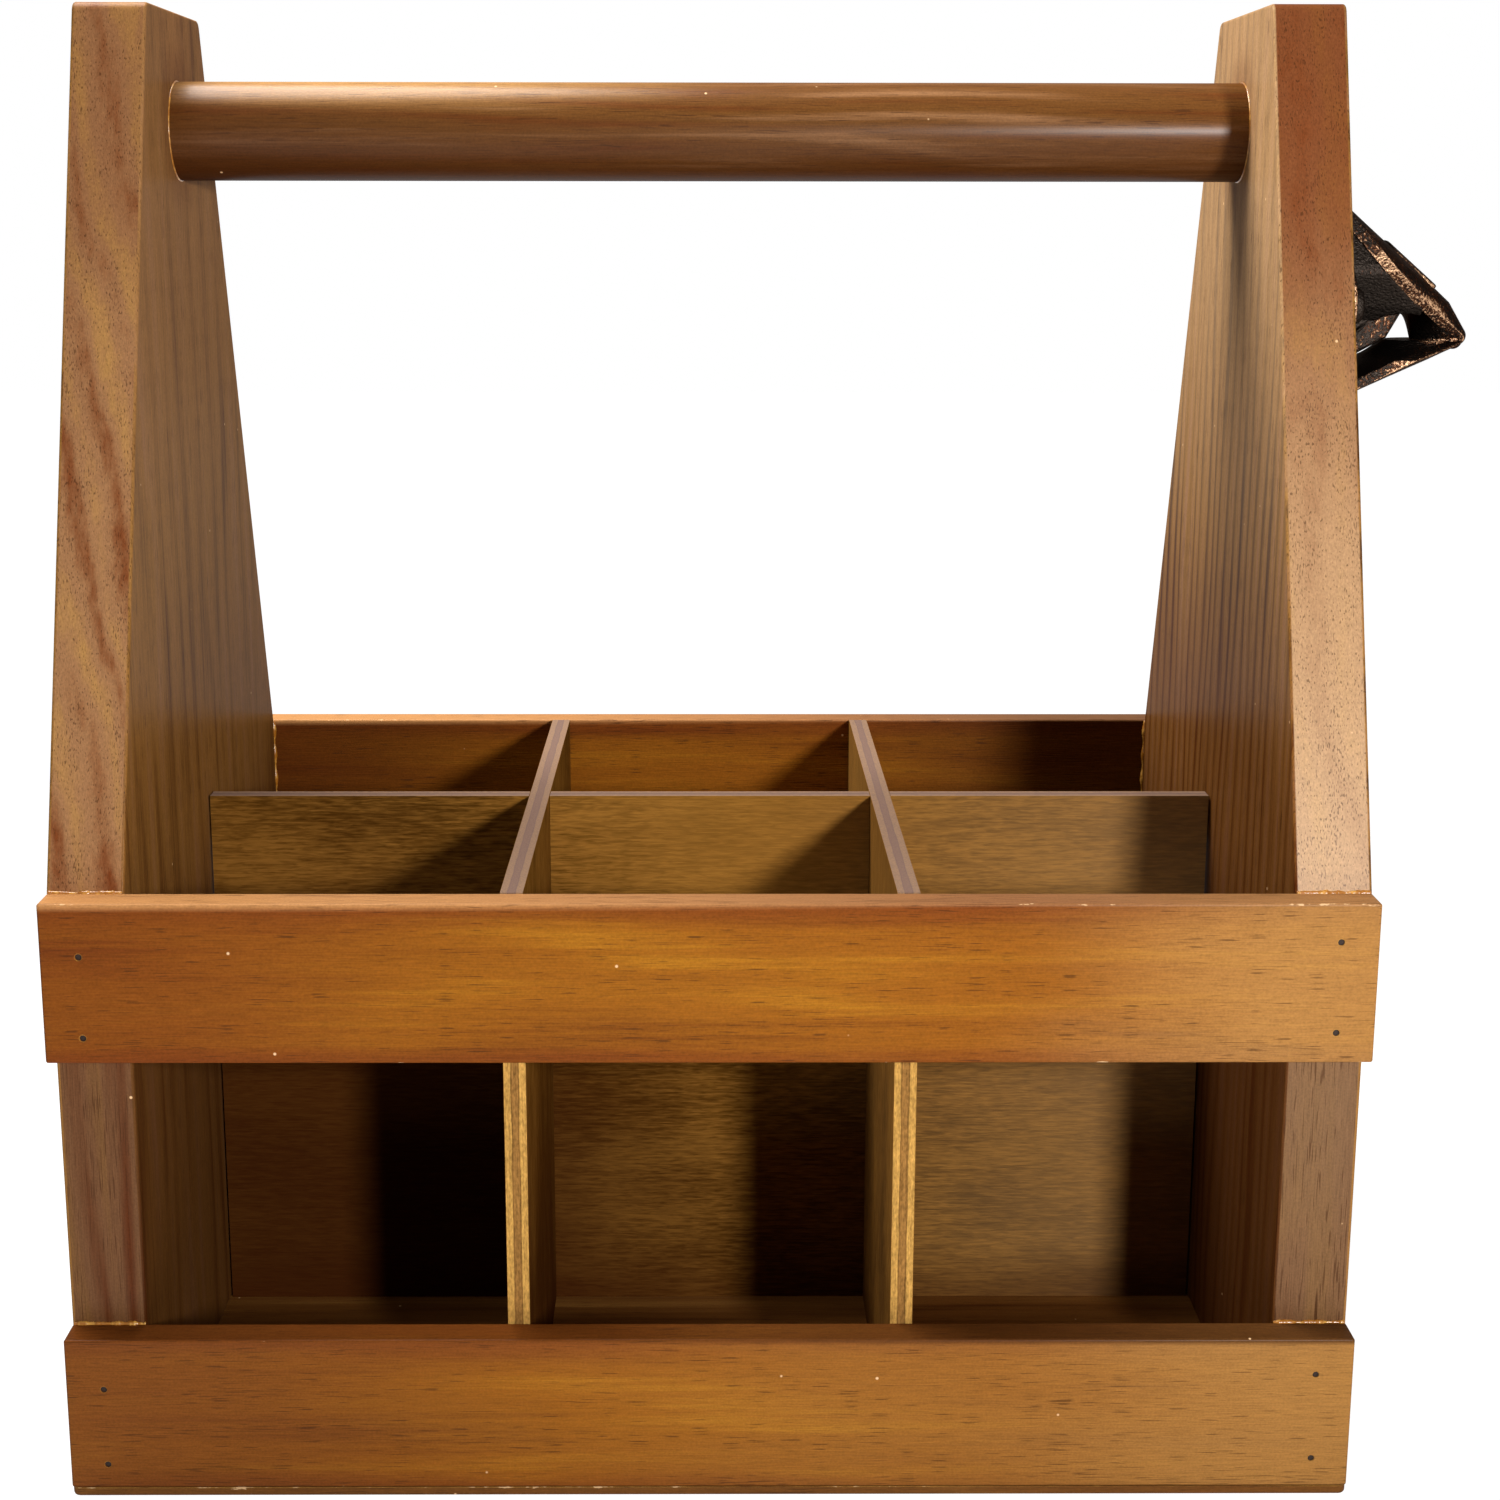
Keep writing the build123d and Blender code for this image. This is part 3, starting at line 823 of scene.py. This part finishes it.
class CADDY_OT_varnish_beads(bpy.types.Operator):
    """Lays beads of dried varnish where the end panels meet the slats, and round the handle"""

    bl_idname = "caddy.varnish_beads"
    bl_label = "Varnish Beads"
    bl_options = {"REGISTER", "UNDO"}

    def execute(self, context):
        panel_low, panel_high = (np.array(corner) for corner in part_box("right_end_panel"))
        inner, outer, face = panel_low[0], panel_high[0], panel_high[1]
        material = pooled_varnish("dried_varnish")
        beads = self.slat_beads(inner, outer, face)
        add_piece("varnish_beads", beads, material, "carcass")
        rings = self.handle_rings(inner)
        add_piece("handle_varnish_rings", rings, material, "carcass")
        return {"FINISHED"}

    def slat_beads(self, inner, outer, face):
        """Tubes on the slats' tops along the panels' faces, whose radius is a random walk
        smoothed over seven steps, and tubes up the box's back corners, whose radius is a sine of
        the height in millimetres."""
        random = np.random.default_rng(5)
        steps, inset, smooth = 60, 0.3 * MM, 7
        board_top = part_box("bottom_board")[1][2]
        parts = []
        for slat in ("lower", "upper"):
            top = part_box(f"front_{slat}_slat")[1][2]
            for end in (-1, 1):
                for side in (-1, 1):
                    along = end * np.linspace(inner + inset, outer - inset, steps)
                    path = np.stack([along, np.full(steps, side * face), np.full(steps, top)], 1)
                    walk = random.uniform(-1, 1, steps + smooth - 1)
                    wave = np.convolve(walk, np.ones(smooth) / smooth, "valid")
                    radius = np.clip((0.5 + 0.55 * wave) * MM, 0.15 * MM, None)
                    parts.append(tube(path, radius, Z_AXIS))
            low, high = (np.array(corner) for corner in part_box(f"back_{slat}_slat"))
            for end in (-1, 1):
                up = np.linspace(max(low[2], board_top), high[2] - inset, steps)
                path = np.stack([np.full(steps, end * inner), np.full(steps, low[1]), up], 1)
                radius = (0.45 + 0.2 * np.sin(up / MM)) * MM
                parts.append(tube(path, radius, X_AXIS))
        return parts

    def handle_rings(self, inner):
        """A closed tube round each end of the handle: its path is the rod's circle in the plane
        of the panel's inner face."""
        low, high = (np.array(corner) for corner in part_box("handle_rod"))
        centre, rod_radius, bead_radius = (low + high) / 2, (high[2] - low[2]) / 2, 0.22 * MM
        angle = np.linspace(0, 2 * np.pi, 96, endpoint=False)
        y = centre[1] + rod_radius * np.cos(angle)
        z = centre[2] + rod_radius * np.sin(angle)
        radius = np.full(len(angle), bead_radius)
        rings = []
        for end in (-1, 1):
            path = np.stack([np.full(len(angle), end * inner), y, z], 1)
            rings.append(tube(path, radius, X_AXIS, closed=True))
        return rings


class CADDY_OT_stage(bpy.types.Operator):
    """Sets the floor, the lights and the camera"""

    bl_idname = "caddy.stage"
    bl_label = "Stage"
    bl_options = {"REGISTER", "UNDO"}

    def execute(self, context):
        stage = context.scene.caddy_stage
        self.floor()
        self.room(stage.room)
        self.lamp(
            "key_light", place=(0.25, -0.65, 0.29), target=(0.0, -0.05, 0.14), size=0.07,
            watts=stage.key_watts,
        )
        self.lamp(
            "top_light", place=(-0.19, 0.09, 0.64), target=(-0.05, 0.0, 0.2), size=0.33,
            watts=stage.top_watts,
        )
        self.camera(context.scene)
        context.scene.view_settings.view_transform = "Standard"
        return {"FINISHED"}

    def white_to_the_eye(self, tree):
        """1 for rays from the camera and for mirrored or refracted ones, else 0."""
        kinds = ("Is Camera Ray", "Is Glossy Ray", "Is Transmission Ray")
        seen = weighted(tree, *[(node(tree, "LightPath", out=kind), 1.0, 0.0) for kind in kinds])
        return node(tree, "Math", {0: seen, 1: 1.0}, operation="MINIMUM")

    def floor(self):
        """White floor that keeps the object's shadow.

        To the eye it glows, and a quarter of its own shade shows through near the object and none
        far off. All other light meets a plain pale floor.
        """
        material, tree = new_material("white_floor")
        lit = node(tree, "BsdfDiffuse", {"Color": (0.9, 0.9, 0.9, 1.0)})
        away = away_from(tree, (0, 0, 0), (1, 1, 1))
        near_to_far_mm = {1: 200.0, 2: 700.0}
        strength = node(tree, "MapRange", {0: away, **near_to_far_mm, 3: 1.25, 4: 1.05})
        glow = node(tree, "Emission", {"Color": WHITE, "Strength": strength})
        seen = node(tree, "MapRange", {0: away, **near_to_far_mm, 3: 0.75, 4: 1.0})
        seen = {0: seen, 1: self.white_to_the_eye(tree)}
        seen = node(tree, "Math", seen, operation="MULTIPLY")
        shade = node(tree, "MixShader", {0: seen, 1: lit, 2: glow})
        node(tree, "OutputMaterial", {"Surface": shade})
        half, below = 3.0, -0.0001
        mesh = bpy.data.meshes.new("floor")
        square = ((-half, -half), (half, -half), (half, half), (-half, half))
        corners = [(x, y, below) for x, y in square]
        mesh.from_pydata(corners, [], [(0, 1, 2, 3)])
        mesh.materials.append(material)
        floor = bpy.data.objects.new("floor", mesh)
        bpy.context.scene.collection.objects.link(floor)

    def room(self, strength):
        """Even light, with a white background for the eye."""
        world = bpy.data.worlds.new("white_room")
        world.use_nodes = True
        bpy.context.scene.world = world
        tree = world.node_tree
        tree.nodes.clear()
        mirrored = 0.5
        kinds = (("Is Camera Ray", 1.0), ("Is Glossy Ray", mirrored), ("Is Transmission Ray", 1.0))
        light = weighted(
            tree, (1.0, strength, 0.0),
            *[(node(tree, "LightPath", out=kind), seen - strength, 0.0) for kind, seen in kinds],
        )
        background = node(tree, "Background", {"Color": WHITE, "Strength": light})
        node(tree, "OutputWorld", {"Surface": background})

    def lamp(self, name, place, target, size, watts):
        """A round lamp that faces its target."""
        data = bpy.data.lights.new(name, "AREA")
        data.shape, data.size, data.energy = "DISK", size, watts
        lamp = bpy.data.objects.new(name, data)
        bpy.context.scene.collection.objects.link(lamp)
        lamp.location = place
        lamp.rotation_euler = (Vector(target) - Vector(place)).to_track_quat("-Z", "Y").to_euler()

    def camera(self, scene):
        """Camera at the photograph's viewpoint, solved on its edges."""
        focal_px, centre_x_px = 2405.36, 721.04
        place = Vector((-0.000553, -0.530822, 0.252079))
        pitch, yaw, roll = np.radians((12.526, 0.332, -0.072))
        ahead = np.cos(pitch)
        forward = np.array([np.sin(yaw) * ahead, np.cos(yaw) * ahead, -np.sin(pitch)])
        level = np.array([np.cos(yaw), -np.sin(yaw), 0.0])
        right = np.cos(roll) * level + np.sin(roll) * np.cross(forward, level)
        turn = Matrix(np.stack([right, np.cross(right, forward), -forward], 1).tolist())
        data = bpy.data.cameras.new("photo_camera")
        data.sensor_width = 36.0
        data.lens = data.sensor_width * focal_px / IMAGE_SIDE_PX
        data.shift_x = (IMAGE_SIDE_PX / 2 - centre_x_px) / IMAGE_SIDE_PX
        data.clip_start, data.clip_end = 0.01, 20.0
        camera = bpy.data.objects.new("photo_camera", data)
        scene.collection.objects.link(camera)
        camera.matrix_world = Matrix.LocRotScale(place, turn.to_quaternion(), None)
        scene.camera = camera


class CADDY_PT_sidebar(bpy.types.Panel):
    """Lists the caddy's steps and settings"""

    bl_idname = "CADDY_PT_sidebar"
    bl_label = "Bottle Caddy"
    bl_space_type = "VIEW_3D"
    bl_region_type = "UI"
    bl_category = "Caddy"

    def draw(self, context):
        for operator in OPERATORS:
            self.layout.operator(operator.bl_idname)
        for group, kind in GROUPS.items():
            box = self.layout.box()
            for name in kind.__annotations__:
                box.prop(getattr(context.scene, group), name)


GROUPS = {
    "caddy_stain": CaddyStain,
    "caddy_plywood": CaddyPlywood,
    "caddy_metal": CaddyMetal,
    "caddy_stage": CaddyStage,
}
OPERATORS = (
    CADDY_OT_end_panels,
    CADDY_OT_handle,
    CADDY_OT_slats,
    CADDY_OT_dividers,
    CADDY_OT_metalwork,
    CADDY_OT_varnish_beads,
    CADDY_OT_stage,
)
CLASSES = (*GROUPS.values(), *OPERATORS, CADDY_PT_sidebar)


def register():
    """Registers the classes and hangs the settings on the scene."""
    for kind in CLASSES:
        bpy.utils.register_class(kind)
    for name, kind in GROUPS.items():
        setattr(bpy.types.Scene, name, PointerProperty(type=kind))


def unregister():
    """Takes the settings and the classes away again."""
    for name in GROUPS:
        delattr(bpy.types.Scene, name)
    for kind in reversed(CLASSES):
        bpy.utils.unregister_class(kind)


def main():
    """Builds the whole caddy."""
    register()
    bpy.ops.caddy.end_panels()
    bpy.ops.caddy.handle()
    bpy.ops.caddy.slats()
    bpy.ops.caddy.dividers()
    bpy.ops.caddy.metalwork()
    bpy.ops.caddy.varnish_beads()
    bpy.ops.caddy.stage()


if __name__ == "__main__":
    main()
